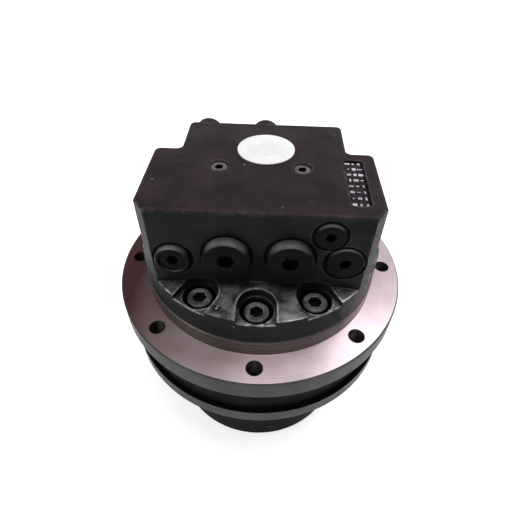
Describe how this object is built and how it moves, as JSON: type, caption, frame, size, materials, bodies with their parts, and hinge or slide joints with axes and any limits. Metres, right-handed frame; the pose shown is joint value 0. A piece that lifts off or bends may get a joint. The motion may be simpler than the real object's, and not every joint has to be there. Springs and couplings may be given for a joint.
{
  "type": "excavator final drive",
  "caption": "Hydraulic track drive: flanged spindle under a valve block, a turning hub with a sprocket flange, and a piston motor, brake and planetary gears inside.",
  "frame": {"origin": "on the drive axis, in the face of the flange that bolts to the track frame", "axes": "+Z along the drive axis towards the valve block, -Y towards the face with the main ports"},
  "size_m": [0.21, 0.21, 0.2306],
  "materials": {
    "block_paint": "black semi-gloss paint over a casting",
    "hub_paint": "black paint",
    "machined_steel": "turned, bare",
    "plug_steel": "black paint over steel",
    "bolt_steel": "black paint over steel",
    "disc_metal": "satin, bare",
    "gear_steel": "ground",
    "bearing_steel": "polished",
    "spring_steel": "oiled",
    "bronze": "turned",
    "lining": "paper friction lining",
    "seal_rubber": "matt"
  },
  "bodies": {
    "spindle": {"spindle": "machined_steel", "valve_block": "block_paint", "cover_bolts": "bolt_steel", "main_port_plugs": "plug_steel", "left_drain_plug": "plug_steel", "right_drain_plug": "plug_steel", "pilot_plug": "plug_steel", "rear_plugs": "plug_steel", "gauge_plugs": "plug_steel", "top_disc": "disc_metal", "spool_plugs": "plug_steel", "spool_springs": "spring_steel", "valve_plate": "bronze", "swash_plate": "gear_steel", "swash_cradles": "bronze", "shaft_bearing": "bearing_steel", "shaft_seal": "seal_rubber", "stub_bearing": "bearing_steel", "separator_plates": "gear_steel", "brake_springs": "spring_steel", "upper_seal_ring": "gear_steel", "upper_seal_rubber": "seal_rubber", "bearing_inner_rings": "bearing_steel", "bearing_nut": "gear_steel", "second_pins": "gear_steel", "second_washers": "bronze"},
    "hub": {"hub": "hub_paint", "ring_gear": "gear_steel", "bearing_outer_rings": "bearing_steel", "lower_seal_ring": "gear_steel", "lower_seal_rubber": "seal_rubber", "end_cover": "hub_paint", "cover_retaining_ring": "spring_steel", "thrust_pad": "bronze", "oil_plugs": "plug_steel"},
    "rollers": {"bearing_rollers": "bearing_steel"},
    "motor_rotor": {"drive_shaft": "gear_steel", "cylinder_block": "gear_steel", "pistons": "bearing_steel", "piston_shoes": "bronze", "retainer_plate": "gear_steel", "friction_plates": "lining", "first_sun": "gear_steel"},
    "first_carrier": {"first_carrier": "gear_steel", "first_pins": "bearing_steel", "first_washers": "bronze", "second_sun": "gear_steel"},
    "brake_piston": {"brake_piston": "gear_steel"},
    "counterbalance_spool": {"counterbalance_spool": "bearing_steel"},
    "first_planet_1": {"first_planet_1": "gear_steel"},
    "first_planet_2": {"first_planet_2": "gear_steel"},
    "first_planet_3": {"first_planet_3": "gear_steel"},
    "second_planet_1": {"second_planet_1": "gear_steel"},
    "second_planet_2": {"second_planet_2": "gear_steel"},
    "second_planet_3": {"second_planet_3": "gear_steel"}
  },
  "joints": [
    {"name": "hub_spin", "type": "hinge", "parent": "spindle", "child": "hub", "pos_m": [0, 0, 0], "axis": [0, 0, 1], "continuous": true},
    {"name": "roller_orbit", "type": "hinge", "parent": "spindle", "child": "rollers", "pos_m": [0, 0, 0], "axis": [0, 0, 1], "continuous": true},
    {"name": "carrier_spin", "type": "hinge", "parent": "spindle", "child": "first_carrier", "pos_m": [0, 0, 0], "axis": [0, 0, 1], "continuous": true},
    {"name": "shaft_spin", "type": "hinge", "parent": "spindle", "child": "motor_rotor", "pos_m": [0, 0, 0], "axis": [0, 0, 1], "continuous": true},
    {"name": "first_planet_1_spin", "type": "hinge", "parent": "first_carrier", "child": "first_planet_1", "pos_m": [0, 0.033, 0], "axis": [0, 0, 1], "continuous": true},
    {"name": "first_planet_2_spin", "type": "hinge", "parent": "first_carrier", "child": "first_planet_2", "pos_m": [-0.02858, -0.0165, 0], "axis": [0, 0, 1], "continuous": true},
    {"name": "first_planet_3_spin", "type": "hinge", "parent": "first_carrier", "child": "first_planet_3", "pos_m": [0.02858, -0.0165, 0], "axis": [0, 0, 1], "continuous": true},
    {"name": "second_planet_1_spin", "type": "hinge", "parent": "spindle", "child": "second_planet_1", "pos_m": [0, 0.033, 0], "axis": [0, 0, 1], "continuous": true},
    {"name": "second_planet_2_spin", "type": "hinge", "parent": "spindle", "child": "second_planet_2", "pos_m": [-0.02858, -0.0165, 0], "axis": [0, 0, 1], "continuous": true},
    {"name": "second_planet_3_spin", "type": "hinge", "parent": "spindle", "child": "second_planet_3", "pos_m": [0.02858, -0.0165, 0], "axis": [0, 0, 1], "continuous": true},
    {"name": "brake_release", "type": "slide", "parent": "spindle", "child": "brake_piston", "axis": [0, 0, 1], "range_m": [0, 0.0015], "deforming": ["brake_springs"]},
    {"name": "spool_shift", "type": "slide", "parent": "spindle", "child": "counterbalance_spool", "axis": [1, 0, 0], "range_m": [-0.004, 0.004]}
  ],
  "couplings": [
    {"joint": "roller_orbit", "follows": "hub_spin", "ratio": 0.52924},
    {"joint": "carrier_spin", "follows": "hub_spin", "ratio": -4},
    {"joint": "shaft_spin", "follows": "hub_spin", "ratio": -24},
    {"joint": "first_planet_1_spin", "follows": "hub_spin", "ratio": 13.333},
    {"joint": "first_planet_2_spin", "follows": "hub_spin", "ratio": 13.333},
    {"joint": "first_planet_3_spin", "follows": "hub_spin", "ratio": 13.333},
    {"joint": "second_planet_1_spin", "follows": "hub_spin", "ratio": 2.6667},
    {"joint": "second_planet_2_spin", "follows": "hub_spin", "ratio": 2.6667},
    {"joint": "second_planet_3_spin", "follows": "hub_spin", "ratio": 2.6667}
  ]
}
